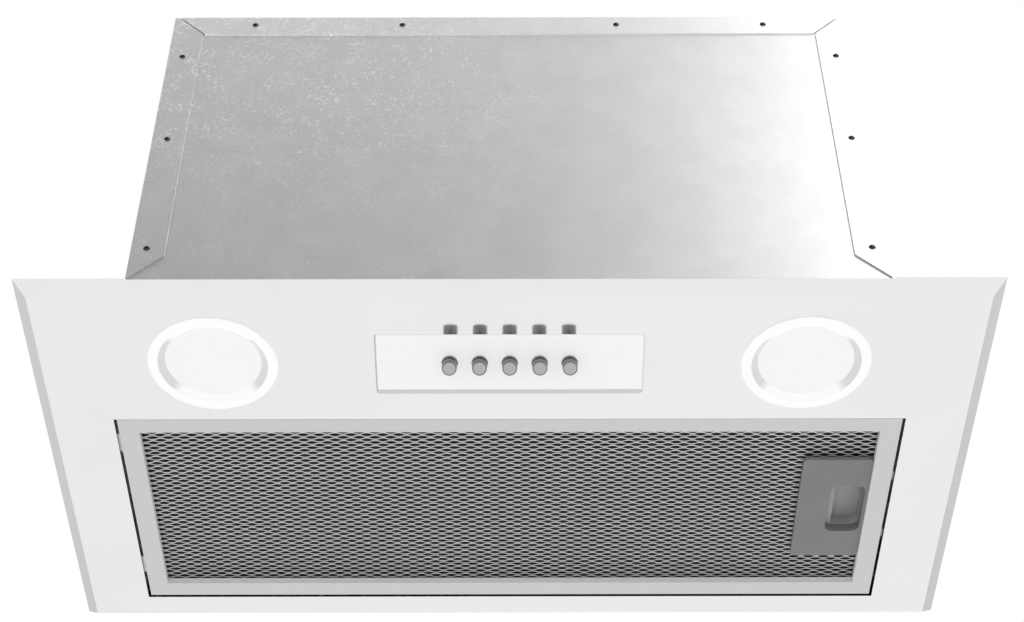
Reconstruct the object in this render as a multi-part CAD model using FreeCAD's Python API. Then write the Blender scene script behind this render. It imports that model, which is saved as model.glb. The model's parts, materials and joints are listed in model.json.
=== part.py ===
import FreeCAD, Part
import math
import os

# Built-in range hood that hangs under a wall cabinet. Millimetres, +Z up.
# The origin is the centre of the trim's rim, in the plane that meets the cabinet's underside.
# -Y is the front, where the user stands. The cooking side is -Z.

V = FreeCAD.Vector
X_DIR, Y_DIR, Z_DIR = V(1, 0, 0), V(0, 1, 0), V(0, 0, 1)
O = V(0, 0, 0)
TINY = 0.1

# Driving dimensions: trim
TRIM_W, TRIM_D = 520.0, 282.2      # outside of the rim
BEVEL, TRIM_H = 7.3, 7.0           # chamfered edge: inset and height
PANEL_T = 1.0                      # painted sheet
RIM_RETURN = 11.0                  # flange folded in along the cabinet's underside
FRONT_Y, REAR_Y = -TRIM_D / 2, TRIM_D / 2
FACE_Z = -TRIM_H                   # visible underside

# Driving dimensions: galvanised case
CASE_W, CASE_H, CASE_D = 401.4, 228.8, 268.0
SHEET = 0.8
SIDE_FLANGE_W, TOP_FLANGE_W = 18.2, 16.4
MITRE_GAP = 0.7
CASE_REAR = FRONT_Y + CASE_D
RIVET_R, RIVET_HEAD_R, RIVET_HEAD_H = 1.2, 1.9, 1.0
SEAT = 0.3                         # the case's front stands this far below the cabinet's underside

# Driving dimensions: base frame
BASE_HALF_W, BASE_HALF_D = 247.0, 128.0
BASE_T = 1.0
TRAY_HALF_W, TRAY_FRONT, TRAY_REAR, TRAY_TOP = 231.0, -44.0, 126.0, 16.0
CABINET_HOLE_X, CABINET_HOLE_Y, CABINET_HOLE_R = 239.0, 105.0, 2.4

# Driving dimensions: grease filter
FILTER_Y = 38.4                    # centre line of the filter's latch
OPEN_HALF_W, OPEN_FRONT, OPEN_REAR = 219.4, -40.3, 118.1
LIP_T, LIP_W = 0.4, 1.6            # the sheet is thinned from behind round the opening
GAP_SIDE, GAP_FRONT, GAP_REAR = 1.7, 0.2, 2.1
FRAME_HALF_W = OPEN_HALF_W - GAP_SIDE
FRAME_FRONT, FRAME_REAR = OPEN_FRONT + GAP_FRONT, OPEN_REAR - GAP_REAR
BAND, BAND_FRONT = 11.2, 10.4      # width of the visible flat band
FRAME_T = 0.8
FRAME_TOP = FACE_Z + 9.4
MESH_Z, MESH_TOP = FACE_Z + 4.0, FACE_Z + 8.6
FOIL_T = 0.6                       # outer layer of the mesh pack
MESH_NOTCH_X, MESH_NOTCH_HALF = 167.9, 34.0      # room for the latch
HOOK_SPOTS, HOOK_HALF, HOOK_OUT = (-58.3, 49.7), 7.3, 4.6     # hooks on the filter's left edge
HOOK_Z, HOOK_T = FACE_Z + 1.4, 1.0               # hooks and tongues lie just above the trim's sheet

# Driving dimensions: filter handle and latch
HANDLE_X0, HANDLE_X1, HANDLE_HALF = 166.7, 206.5, 42.6
HANDLE_Z, HANDLE_T = FACE_Z + 1.5, 1.5
WINDOW_X0, WINDOW_X1, WINDOW_HALF = 184.5, 204.7, 20.1
WINDOW_R = 5.0
LATCH_TRAVEL = 3.9
LATCH_Z, LATCH_T = FACE_Z + 6.8, 1.2
CUP_TOP = FACE_Z + 13.7
SLIDE_X0, SLIDE_X1, SLIDE_HALF = 178.4, 207.6, 24.2
ARM_X0, DROP_X0, DROP_X1 = 200.0, 212.0, 213.2   # the tongues' arms and the step down to them
POST_X0, POST_X1 = 168.2, 169.6    # the handle's post, which backs the spring
RAIL_X0, RAIL_X1 = 176.5, 195.5    # the handle's rails, which guide the slide plate
TONGUE_SPOTS, TONGUE_W = (-29.4, 21.6), 7.0
TONGUE_TIP = OPEN_HALF_W - 0.3     # clear of the trim's edge

# Driving dimensions: lamps
LAMP_X, LAMP_Y = 159.8, -84.5
LAMP_R, LAMP_HOLE_R, LAMP_RIM_R, LENS_R = 35.0, 32.0, 29.6, 26.0
LAMP_PROUD, LAMP_RECESS, LAMP_EDGE_R = 0.8, 2.6, 0.5
LENS_Z = FACE_Z - LAMP_PROUD + LAMP_RECESS
LED_RING_R, LEDS = 14.0, 5

# Driving dimensions: control panel, a wedge whose face leans towards the user
CONTROL_W, CONTROL_DRAFT = 144.4, 2.2
WEDGE_Y, WEDGE_Z = 26.95, 14.65    # run and drop of the leaning face
WEDGE_LIP, LIP_RISE = 6.6, 3.1     # run and rise of the narrow face behind the lowest edge
CORNER_R = 3.0                     # plan radius of the panel's rear corners
CONTROL_FRONT = -106.6
LEAN = math.atan2(WEDGE_Z, WEDGE_Y)
PUSH = V(0, math.sin(LEAN), math.cos(LEAN))      # direction in which a button is pressed
BUTTON_PITCH, BUTTON_R, BUTTON_BASE_R, BUTTON_HOLE_R = 16.0, 3.9, 4.1, 4.4
BUTTON_X = [i * BUTTON_PITCH for i in (-2, -1, 0, 1, 2)]
BUTTON_OUT, BUTTON_STEP_OUT = 9.3, 3.4
BUTTON_TRAVEL = 3.0
BUTTON_RUN = 16.2                  # from the panel's front edge, along the leaning face
SWITCH_DEPTH = 13.0                # from the leaning face to the switch
SWITCH_Y, STRAP_Z = -81.0, 14.0

# Driving dimensions: blower and outlet
FAN_Y, FAN_Z = -30.0, 112.0
SCROLL_HALF_W, SCROLL_T = 56.0, 1.8
SCROLL_R0, SCROLL_R1 = 78.0, 100.0
CUTOFF_DEG = 70.0
THROAT_TOP = 200.0
WHEEL_R, WHEEL_IN_R, WHEEL_HALF_W = 72.0, 61.0, 46.0
BLADES = 32
INLET_R, BELL_DEPTH = 56.0, 7.0
SHAFT_R = 4.0
MOTOR_R, MOTOR_X0, MOTOR_X1 = 38.0, -52.0, -6.0
OUTLET_R, OUTLET_T, OUTLET_TOP = 60.0, 1.6, 268.0
OUTLET_Y = FAN_Y + 63.3
FLAP_Z, FLAP_T, FLAP_R = 234.0, 1.2, 56.4
PIN_R = 1.5

# Driving dimensions: electrics on the underside of the case's top
GLAND_X, GLAND_Y = -140.0, 90.0
BOX_X0, BOX_X1, BOX_Y0, BOX_Y1, BOX_H = -185.0, -95.0, 60.0, 120.0, 32.0
CAPACITOR_X, CAPACITOR_Y, CAPACITOR_R = 120.0, 60.0, 15.0


def box(x0, x1, y0, y1, z0, z1):
    return Part.makeBox(x1 - x0, y1 - y0, z1 - z0, V(x0, y0, z0))


def rod(r, start, direction, length):
    return Part.makeCylinder(r, length, start, direction)


def tube(r_out, r_in, start, direction, length):
    return rod(r_out, start, direction, length).cut(rod(r_in, start, direction, length))


def fuse(first, *others):
    return first.fuse(list(others)).removeSplitter()


def plate(points, direction):
    """A flat outline given by its corners, pulled along direction."""
    return Part.Face(Part.makePolygon(points + [points[0]])).extrude(direction)


def rounded_box(x0, x1, y0, y1, z0, z1, r):
    block = box(x0, x1, y0, y1, z0, z1)
    upright = [e for e in block.Edges if abs(e.tangentAt(e.FirstParameter).z) > 0.99]
    return block.makeFillet(r, upright)


def cone(r0, r1, x, y, z0, z1):
    return Part.makeCone(r0, r1, z1 - z0, V(x, y, z0), Z_DIR)


def group(shapes):
    return Part.makeCompound(shapes)


def turned(shape, centre, axis, degrees):
    copy = shape.copy()
    copy.rotate(centre, axis, degrees)
    return copy


def moved(shape, x, y, z):
    copy = shape.copy()
    copy.translate(V(x, y, z))
    return copy


def mirrored_x(shape):
    return shape.mirror(O, X_DIR)


def screw(base, direction, head_r=3.2, head_h=2.0, r=1.5, length=8.0):
    """A pan-head screw. base is the point under its head and direction is the way it is driven."""
    head = rod(head_r, base, direction * -1, head_h)
    slot_at = base - direction * head_h
    shank = rod(r, base, direction, length)
    return fuse(head, shank).cut(rod(head_r * 0.35, slot_at, direction, head_h * 0.5))


def save(name, shape):
    shape.exportStep("parts/%s.step" % name)
    kind = "ok" if shape.isValid() else "INVALID"
    print("%-22s %-8s solids %-3d volume %.0f" % (name, kind, len(shape.Solids), shape.Volume))


# ---------------------------------------------------------------- painted trim

def frustum(inset, z_low, z_high):
    """The trim's outer form, shrunk by inset on every side."""
    def ring(z, bevel):
        x = TRIM_W / 2 - bevel - inset
        y = TRIM_D / 2 - bevel - inset
        corners = [V(-x, -y, z), V(x, -y, z), V(x, y, z), V(-x, y, z)]
        return Part.makePolygon(corners + [corners[0]])
    slope = BEVEL / TRIM_H
    return Part.makeLoft([ring(z_low, -z_low * slope), ring(z_high, -z_high * slope)], True, True)


def control_slot():
    half = CONTROL_W / 2 - CONTROL_DRAFT
    return box(-half, half, CONTROL_FRONT + 3.0, CONTROL_FRONT + WEDGE_Y + WEDGE_LIP - 3.0,
               FACE_Z - 1, 0)


def face_panel():
    shell = frustum(0, FACE_Z, 0).cut(frustum(PANEL_T * 1.1, FACE_Z + PANEL_T, TINY))
    x, y = TRIM_W / 2 - 1, TRIM_D / 2 - 1
    rim = box(-x, x, -y, y, -PANEL_T, 0)
    rim = rim.cut(box(-x + RIM_RETURN, x - RIM_RETURN, -y + RIM_RETURN, y - RIM_RETURN, -2, 1))
    shell = shell.fuse(rim.common(frustum(0, FACE_Z, 0)))
    shell = shell.cut(box(-OPEN_HALF_W, OPEN_HALF_W, OPEN_FRONT, OPEN_REAR, FACE_Z - 1, FACE_Z + 3))
    x = OPEN_HALF_W + LIP_W
    shell = shell.cut(box(-x, x, OPEN_FRONT - LIP_W, OPEN_REAR + LIP_W, FACE_Z + LIP_T, FACE_Z + 3))
    x = CASE_W / 2 + 1
    shell = shell.cut(box(-x, x, FRONT_Y - 1, FRONT_Y + RIM_RETURN + 2, -SEAT, 1))
    for x in (-LAMP_X, LAMP_X):
        shell = shell.cut(rod(LAMP_HOLE_R, V(x, LAMP_Y, FACE_Z - 1), Z_DIR, 3))
    return shell.cut(control_slot()).removeSplitter()


def panel_clips():
    """Spring plates under the base frame that grip the trim's return flange."""
    clips = []
    for y in (-60.0, 60.0):
        leaf = box(243.0, 256.0, y - 9, y + 9, -2.0, -PANEL_T)
        stud = rod(1.4, V(245.4, y, -2.8), Z_DIR, 4.4)
        clip = fuse(leaf, rod(2.6, V(245.4, y, -2.8), Z_DIR, 0.8), stud)
        clips += [clip, mirrored_x(clip)]
    return group(clips)


# ---------------------------------------------------------------- galvanised base and case

def base_frame():
    flange = box(-BASE_HALF_W, BASE_HALF_W, -BASE_HALF_D, BASE_HALF_D, -BASE_T, 0)
    front_room = box(-197.0, 197.0, -119.0, TRAY_FRONT - 4, -2, 1)
    flange = flange.cut(front_room)
    tray = box(-TRAY_HALF_W, TRAY_HALF_W, TRAY_FRONT, TRAY_REAR, FACE_Z + PANEL_T, TRAY_TOP)
    hollow = box(-TRAY_HALF_W + BASE_T, TRAY_HALF_W - BASE_T, TRAY_FRONT + BASE_T,
                 TRAY_REAR - BASE_T, FACE_Z, TRAY_TOP - BASE_T)
    frame = flange.fuse(tray).cut(hollow)
    frame = frame.cut(box(-196.0, 196.0, TRAY_FRONT + 6, TRAY_REAR - 6, TRAY_TOP - 2, TRAY_TOP + 1))
    for x in (-CABINET_HOLE_X, CABINET_HOLE_X):
        for y in (-CABINET_HOLE_Y, CABINET_HOLE_Y):
            frame = frame.cut(rod(CABINET_HOLE_R, V(x, y, -2), Z_DIR, 3))
        for y in (-60.0, 60.0):
            edge = math.copysign(245.4, x)
            frame = frame.cut(rod(1.4, V(edge, y, -2), Z_DIR, 3))
    return frame.removeSplitter()


def rivet_spots():
    """Rivets of the front flanges, four along the top and three down each side."""
    top = [(x, CASE_H - 7.3) for x in (-152.0, -64.0, 64.0, 152.0)]
    side = [(x, z) for x in (-192.3, 192.3) for z in (190.5, 114.5, 23.5)]
    return top + side


def cut_rivets(shape):
    for x, z in rivet_spots():
        shape = shape.cut(rod(RIVET_R, V(x, FRONT_Y - 1, z), Y_DIR, 4))
    return shape


def mitre_line(share, shift):
    """A point of the side flange's upper mitre on the right, shifted inwards."""
    start = CASE_W / 2 - SIDE_FLANGE_W + TOP_FLANGE_W
    return V(start - shift - share * TOP_FLANGE_W, FRONT_Y, CASE_H - share * TOP_FLANGE_W)


def front_sheet():
    """The sheet behind the flanges, slit where the upper mitres stand open."""
    y = FRONT_Y + SHEET
    sheet = box(-CASE_W / 2 + SHEET, CASE_W / 2 - SHEET, y, y + SHEET, -SEAT, CASE_H - SHEET)
    gap = MITRE_GAP * math.sqrt(2)
    slit = plate([mitre_line(0.12, 0), mitre_line(0.97, 0), mitre_line(0.97, gap),
                  mitre_line(0.12, gap)], Y_DIR * 4)
    return cut_rivets(sheet.cut(slit).cut(mirrored_x(slit)))


def side_panel():
    """The left side sheet: a web, a mitred front flange and a rear flange."""
    x0 = -CASE_W / 2
    x1 = x0 + SHEET
    web = plate([V(x0, FRONT_Y, -SEAT), V(x0, FRONT_Y + RIM_RETURN + 1.5, -SEAT),
                 V(x0, FRONT_Y + RIM_RETURN + 1.5, 0), V(x0, TRAY_FRONT - 1, 0),
                 V(x0, TRAY_FRONT - 1, TRAY_TOP),
                 V(x0, CASE_REAR, TRAY_TOP), V(x0, CASE_REAR, CASE_H), V(x0, FRONT_Y, CASE_H)],
                X_DIR * SHEET)
    fold = x0 + SIDE_FLANGE_W
    mitre = x0 + SIDE_FLANGE_W - TOP_FLANGE_W
    front = plate([V(x0, FRONT_Y, -SEAT), V(fold, FRONT_Y, SIDE_FLANGE_W - SEAT),
                   V(fold, FRONT_Y, CASE_H - TOP_FLANGE_W), V(mitre, FRONT_Y, CASE_H),
                   V(x0, FRONT_Y, CASE_H)], Y_DIR * SHEET)
    rear = box(x1, fold, CASE_REAR - SHEET, CASE_REAR, TRAY_TOP, CASE_H - SHEET - 0.2)
    panel = fuse(web, front, rear)
    for x, z in rear_rivet_spots():
        panel = panel.cut(rod(RIVET_R, V(x, CASE_REAR - 2, z), Y_DIR, 4))
    return cut_rivets(panel)


def top_panel():
    x = CASE_W / 2 - SHEET
    z1, z0 = CASE_H, CASE_H - SHEET
    web = box(-x, x, FRONT_Y + SHEET, CASE_REAR - SHEET, z0, z1)
    edge = CASE_W / 2 - SIDE_FLANGE_W + TOP_FLANGE_W - MITRE_GAP * math.sqrt(2)
    low = edge - TOP_FLANGE_W
    front = plate([V(-edge, FRONT_Y, z1), V(-low, FRONT_Y, z1 - TOP_FLANGE_W),
                   V(low, FRONT_Y, z1 - TOP_FLANGE_W), V(edge, FRONT_Y, z1)], Y_DIR * SHEET)
    panel = fuse(web, front).common(box(-x, x, FRONT_Y, CASE_REAR, 0, CASE_H))
    panel = panel.cut(rod(OUTLET_R - OUTLET_T, V(0, OUTLET_Y, z0 - 1), Z_DIR, 3))
    panel = panel.cut(rod(6.0, V(GLAND_X, GLAND_Y, z0 - 1), Z_DIR, 3))
    for x, y in collar_screw_spots():
        panel = panel.cut(rod(1.5, V(x, y, z0 - 1), Z_DIR, 3))
    return cut_rivets(panel)


def rear_panel():
    y = CASE_REAR - 2 * SHEET
    sheet = box(-CASE_W / 2 + SHEET, CASE_W / 2 - SHEET, y, y + SHEET, TRAY_TOP, CASE_H - SHEET)
    for x, z in rear_rivet_spots():
        sheet = sheet.cut(rod(RIVET_R, V(x, y - 1, z), Y_DIR, 4))
    return sheet


def rear_rivet_spots():
    return [(x, z) for x in (-192.3, 192.3) for z in (45.0, 120.0, 195.0)]


def blind_rivet(base, direction):
    """A domed rivet. base is the point under its head, direction the way it is set."""
    ball_r = (RIVET_HEAD_R ** 2 + RIVET_HEAD_H ** 2) / (2 * RIVET_HEAD_H)
    ball = Part.makeSphere(ball_r, base + direction * (ball_r - RIVET_HEAD_H))
    head = ball.common(rod(RIVET_HEAD_R + 1, base, direction * -1, RIVET_HEAD_H + 1))
    return fuse(head, rod(RIVET_R, base, direction, 2 * SHEET + 1.4))


def case_rivets():
    front = [blind_rivet(V(x, FRONT_Y, z), Y_DIR) for x, z in rivet_spots()]
    rear = [blind_rivet(V(x, CASE_REAR, z), Y_DIR * -1) for x, z in rear_rivet_spots()]
    return group(front + rear)


# ---------------------------------------------------------------- outlet

def collar_screw_spots():
    r = OUTLET_R + 6.0
    return [(r * math.cos(a), OUTLET_Y + r * math.sin(a))
            for a in (math.radians(45 + 90 * i) for i in range(4))]


def outlet_collar():
    low = CASE_H
    wall = tube(OUTLET_R, OUTLET_R - OUTLET_T, V(0, OUTLET_Y, low), Z_DIR, OUTLET_TOP - low)
    flange = tube(OUTLET_R + 11, OUTLET_R - OUTLET_T, V(0, OUTLET_Y, low), Z_DIR, 1.6)
    ledge = tube(OUTLET_R - TINY, OUTLET_R - OUTLET_T - 3.4, V(0, OUTLET_Y, FLAP_Z - 2.9), Z_DIR, 2.0)
    ledge = ledge.cut(box(-4.5, 4.5, OUTLET_Y - 70, OUTLET_Y + 70, FLAP_Z - 5, FLAP_Z + 5))
    collar = fuse(wall, flange, ledge)
    collar = collar.cut(rod(PIN_R, V(0, OUTLET_Y - 70, FLAP_Z), Y_DIR, 140))
    for x, y in collar_screw_spots():
        collar = collar.cut(rod(1.5, V(x, y, low - 1), Z_DIR, 4))
    return collar


def collar_screws():
    return group([screw(V(x, y, CASE_H + 1.6), Z_DIR * -1) for x, y in collar_screw_spots()])


def damper_pin():
    return rod(PIN_R, V(0, OUTLET_Y - OUTLET_R + 0.4, FLAP_Z), Y_DIR, 2 * (OUTLET_R - 0.4))


def damper_flap(side):
    """A half-round flap with its knuckles on the pin. side is -1 for left and 1 for right."""
    disc = rod(FLAP_R, V(0, OUTLET_Y, FLAP_Z - FLAP_T / 2), Z_DIR, FLAP_T)
    near, far = 3.4, 60.0
    x0, x1 = (near, far) if side > 0 else (-far, -near)
    leaf = disc.common(box(x0, x1, OUTLET_Y - 70, OUTLET_Y + 70, FLAP_Z - 5, FLAP_Z + 5))
    starts = (-46.0, 6.0) if side < 0 else (-22.0, 30.0)
    flap = leaf
    for start in starts:
        y0 = OUTLET_Y + start
        knuckle = rod(2.9, V(0, y0, FLAP_Z), Y_DIR, 16.0)
        a, b = (0, near + TINY) if side > 0 else (-near - TINY, 0)
        web = box(a, b, y0, y0 + 16.0, FLAP_Z - FLAP_T / 2, FLAP_Z + FLAP_T / 2)
        flap = fuse(flap, knuckle, web)
    return flap.cut(rod(PIN_R + 0.05, V(0, OUTLET_Y - 70, FLAP_Z), Y_DIR, 140))


# ---------------------------------------------------------------- blower

def scroll_point(degrees, offset):
    r = SCROLL_R0 + (SCROLL_R1 - SCROLL_R0) * (degrees - CUTOFF_DEG) / (360 - CUTOFF_DEG) + offset
    a = math.radians(degrees)
    return V(0, FAN_Y + r * math.cos(a), FAN_Z + r * math.sin(a))


def scroll_form(offset, x0, x1, top):
    """The snail outline, grown by offset, as a solid from x0 to x1 that is open towards +Z at top."""
    steps = 24
    points = [scroll_point(CUTOFF_DEG + (360 - CUTOFF_DEG) * i / steps, offset)
              for i in range(steps + 1)]
    curve = Part.BSplineCurve()
    curve.interpolate(points)
    first, last = points[0], points[-1]
    up_rear = V(0, last.y, top)
    up_front = V(0, first.y, top)
    wire = Part.Wire([curve.toShape(), Part.makeLine(last, up_rear), Part.makeLine(up_rear, up_front),
                      Part.makeLine(up_front, first)])
    form = Part.Face(wire).extrude(V(x1 - x0, 0, 0))
    return moved(form, x0, 0, 0)


def scroll_half(side):
    """One half of the blower housing, from the middle plane to its inlet wall."""
    outer_x = SCROLL_HALF_W + SCROLL_T
    outer = scroll_form(SCROLL_T, 0, outer_x, THROAT_TOP)
    throat_front = scroll_point(CUTOFF_DEG, 0).y - SCROLL_T
    post = box(0, outer_x, throat_front, throat_front + SCROLL_T + 3, FAN_Z + 74, THROAT_TOP)
    inner = scroll_form(0, -1, SCROLL_HALF_W, THROAT_TOP + 1)
    half = outer.fuse(post).cut(inner)
    half = half.cut(rod(INLET_R + 2, V(0, FAN_Y, FAN_Z), X_DIR, 80))
    for y, z in scroll_lug_spots():
        lug = rod(5.0, V(0, y, z), X_DIR, 6.0).cut(outer)
        half = half.fuse(lug)
        half = half.cut(rod(1.5, V(-1, y, z), X_DIR, 9.0))
    half = half.removeSplitter()
    return half if side > 0 else mirrored_x(half)


def scroll_lug_spots():
    spots = []
    for degrees in (120.0, 180.0, 230.0, 320.0):
        point = scroll_point(degrees, SCROLL_T + 3.6)
        spots.append((point.y, point.z))
    return spots


def scroll_screws():
    return group([screw(V(6.0, y, z), X_DIR * -1, 2.8, 1.8, 1.5, 12.0) for y, z in scroll_lug_spots()])


def inlet_ring(side):
    """A bellmouth pressed into an inlet wall."""
    x = SCROLL_HALF_W
    mouth = V(x + SCROLL_T, FAN_Y, FAN_Z)
    wall = 1.6
    outer = Part.makeCone(INLET_R, INLET_R + BELL_DEPTH, BELL_DEPTH, mouth, X_DIR)
    inner = Part.makeCone(INLET_R - wall, INLET_R + BELL_DEPTH - wall, BELL_DEPTH, mouth, X_DIR)
    sleeve = tube(INLET_R + 2, INLET_R - wall, V(x, FAN_Y, FAN_Z), X_DIR, SCROLL_T)
    ring = fuse(outer.cut(inner), sleeve)
    return ring if side > 0 else mirrored_x(ring)


def impeller():
    """A double-inlet wheel: a middle disc, two end rings, a hub and forward-curved blades."""
    centre = V(0, FAN_Y, FAN_Z)
    wheel = rod(WHEEL_R, V(-1, FAN_Y, FAN_Z), X_DIR, 2.0)
    for x in (-WHEEL_HALF_W, WHEEL_HALF_W - 3):
        wheel = wheel.fuse(tube(WHEEL_R, WHEEL_IN_R, V(x, FAN_Y, FAN_Z), X_DIR, 3.0))
    wheel = wheel.fuse(rod(11.0, V(-4, FAN_Y, FAN_Z), X_DIR, 18.0))
    r0, r1 = WHEEL_IN_R + 0.5, WHEEL_R - 0.5
    half_turn = math.radians(180.0 / BLADES)
    a = V(-WHEEL_HALF_W, FAN_Y + r0, FAN_Z)
    b = V(-WHEEL_HALF_W, FAN_Y + (r0 + r1) / 2, FAN_Z + (r0 + r1) / 2 * half_turn * 0.55)
    c = V(-WHEEL_HALF_W, FAN_Y + r1 * math.cos(half_turn * 0.5),
          FAN_Z + r1 * math.sin(half_turn * 0.5) - 2.0)
    arc = Part.Arc(a, b, c).toShape()
    lift = V(0, 0, 1.0)
    back = arc.copy()
    back.translate(lift)
    ends = [Part.makeLine(a, a + lift), Part.makeLine(c, c + lift)]
    face = Part.Face(Part.Wire(Part.__sortEdges__([arc, back] + ends)))
    blade = face.extrude(V(2 * WHEEL_HALF_W, 0, 0))
    blades = [turned(blade, centre, X_DIR, 360.0 * i / BLADES) for i in range(BLADES)]
    wheel = wheel.fuse(blades)
    return wheel.cut(rod(SHAFT_R, V(-20, FAN_Y, FAN_Z), X_DIR, 60)).removeSplitter()


def motor_shaft():
    return rod(SHAFT_R, V(MOTOR_X0 - 4, FAN_Y, FAN_Z), X_DIR, 17.0 - MOTOR_X0 + 4)


def motor_rotor():
    return tube(17.0, SHAFT_R, V(-44.0, FAN_Y, FAN_Z), X_DIR, 28.0)


def motor_stator():
    return tube(33.0, 17.6, V(-44.0, FAN_Y, FAN_Z), X_DIR, 28.0)


def motor_can():
    can = tube(MOTOR_R, 33.0, V(MOTOR_X0, FAN_Y, FAN_Z), X_DIR, MOTOR_X1 - MOTOR_X0 - 1)
    front = rod(MOTOR_R, V(MOTOR_X1 - 3, FAN_Y, FAN_Z), X_DIR, 3.0)
    can = can.cut(rod(MOTOR_R + 1, V(MOTOR_X1 - 3, FAN_Y, FAN_Z), X_DIR, 9.0))
    can = fuse(can, front)
    return can.cut(rod(9.0, V(MOTOR_X1 - 9, FAN_Y, FAN_Z), X_DIR, 20.0))


def motor_end_cap():
    cap = rod(MOTOR_R, V(MOTOR_X0 - 2, FAN_Y, FAN_Z), X_DIR, 2.0)
    return cap.cut(rod(9.0, V(MOTOR_X0 - 3, FAN_Y, FAN_Z), X_DIR, 5.0))


def bearing(x):
    """A plain bush with its shaft in running clearance."""
    return tube(9.0, SHAFT_R + 0.04, V(x, FAN_Y, FAN_Z), X_DIR, 3.0)


def motor_bracket():
    """Three arms from the motor's end cap, each hooked over the rim of the left bellmouth."""
    x = MOTOR_X0 - 5.0
    rim = -SCROLL_HALF_W - SCROLL_T - BELL_DEPTH
    hub = tube(30.0, 12.0, V(x, FAN_Y, FAN_Z), X_DIR, 3.0)
    arms = []
    for i in range(3):
        arm = box(x, x + 3.0, FAN_Y - 6, FAN_Y + 6, FAN_Z + 25, FAN_Z + 53.0)
        foot = box(rim - 1.5, x + 3.0, FAN_Y - 6, FAN_Y + 6, FAN_Z + 50.0, FAN_Z + 53.0)
        hook = box(rim - 1.5, rim, FAN_Y - 6, FAN_Y + 6, FAN_Z + 50.0, FAN_Z + 62.0)
        arms.append(turned(fuse(arm, foot, hook), V(0, FAN_Y, FAN_Z), X_DIR, 120.0 * i))
    bracket = hub.fuse(arms)
    for y, z in motor_screw_spots():
        bracket = bracket.cut(rod(3.0, V(x - 1, y, z), X_DIR, 6))
    return bracket.removeSplitter()


def motor_screw_spots():
    r = 21.0
    return [(FAN_Y + r * math.cos(a), FAN_Z + r * math.sin(a))
            for a in (math.radians(30 + 120 * i) for i in range(3))]


def motor_grommets():
    """Rubber bushes between the bracket and the motor."""
    x = MOTOR_X0 - 5.0
    rings = []
    for y, z in motor_screw_spots():
        neck = rod(3.0, V(x, y, z), X_DIR, 3.0)
        flange = rod(5.0, V(x - 1.5, y, z), X_DIR, 1.5)
        rings.append(fuse(neck, flange).cut(rod(1.5, V(x - 3, y, z), X_DIR, 9)))
    return group(rings)


def motor_screws():
    x = MOTOR_X0 - 5.0 - 1.5
    return group([screw(V(x, y, z), X_DIR, 3.2, 2.0, 1.5, 4.5) for y, z in motor_screw_spots()])


def outlet_adaptor():
    """Turns the blower's square throat into the round outlet."""
    y0 = scroll_point(CUTOFF_DEG, 0).y - SCROLL_T
    y1 = scroll_point(360, SCROLL_T).y
    x = SCROLL_HALF_W + SCROLL_T

    def oblong(grow, z):
        a, b, c = x + grow, y0 - grow, y1 + grow
        pts = [V(-a, b, z), V(a, b, z), V(a, c, z), V(-a, c, z)]
        return Part.makePolygon(pts + [pts[0]])

    def circle(r, z):
        corner = math.sqrt(0.5)
        marks = [V(r * sx * corner, OUTLET_Y + r * sy * corner, z)
                 for sx, sy in ((-1, -1), (1, -1), (1, 1), (-1, 1))]
        mids = [V(0, OUTLET_Y - r, z), V(r, OUTLET_Y, z), V(0, OUTLET_Y + r, z), V(-r, OUTLET_Y, z)]
        edges = [Part.Arc(marks[i], mids[i], marks[(i + 1) % 4]).toShape() for i in range(4)]
        return Part.Wire(edges)
    top = CASE_H - SHEET
    outer = Part.makeLoft([oblong(0, THROAT_TOP), circle(OUTLET_R - 1.0, top)], True, True)
    inner = Part.makeLoft([oblong(-SCROLL_T, THROAT_TOP), circle(OUTLET_R - 2.8, top)], True, True)
    return outer.cut(inner)


# ---------------------------------------------------------------- electrics

def capacitor():
    start = V(CAPACITOR_X, CAPACITOR_Y, CASE_H - SHEET - 62.0)
    can = rod(CAPACITOR_R, start, Z_DIR, 52.0)
    return can.makeFillet(2.0, [can.Edges[0]])


def capacitor_clip():
    z = CASE_H - SHEET - 42.0
    band = tube(CAPACITOR_R + 1.2, CAPACITOR_R, V(CAPACITOR_X, CAPACITOR_Y, z), Z_DIR, 14.0)
    tab = box(CAPACITOR_X - 1, CAPACITOR_X + 1, CAPACITOR_Y + CAPACITOR_R + 1,
              CASE_REAR - 2 * SHEET, z, z + 14.0)
    return fuse(band, tab)


def terminal_box():
    top = CASE_H - SHEET
    low = top - BOX_H
    shell = box(BOX_X0, BOX_X1, BOX_Y0, BOX_Y1, low, top)
    shell = shell.cut(box(BOX_X0 + 2, BOX_X1 - 2, BOX_Y0 + 2, BOX_Y1 - 2, low - 1, top - 2))
    return shell.cut(rod(6.0, V(GLAND_X, GLAND_Y, top - 5), Z_DIR, 10))


def terminal_box_lid():
    low = CASE_H - SHEET - BOX_H
    lid = box(BOX_X0, BOX_X1, BOX_Y0, BOX_Y1, low - 2, low)
    locating_rim = box(BOX_X0 + 2.3, BOX_X1 - 2.3, BOX_Y0 + 2.3, BOX_Y1 - 2.3, low, low + 2)
    return lid.fuse(locating_rim).removeSplitter()


def terminal_block():
    top = CASE_H - SHEET - 2
    block = box(-182.0, -160.0, 68.0, 112.0, top - 14, top)
    for i in range(4):
        y = 73.0 + i * 11.0
        block = block.cut(rod(2.6, V(-171.0, y, top - 15), Z_DIR, 8))
        block = block.cut(rod(1.8, V(-190.0, y, top - 6), X_DIR, 40))
    return block


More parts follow.
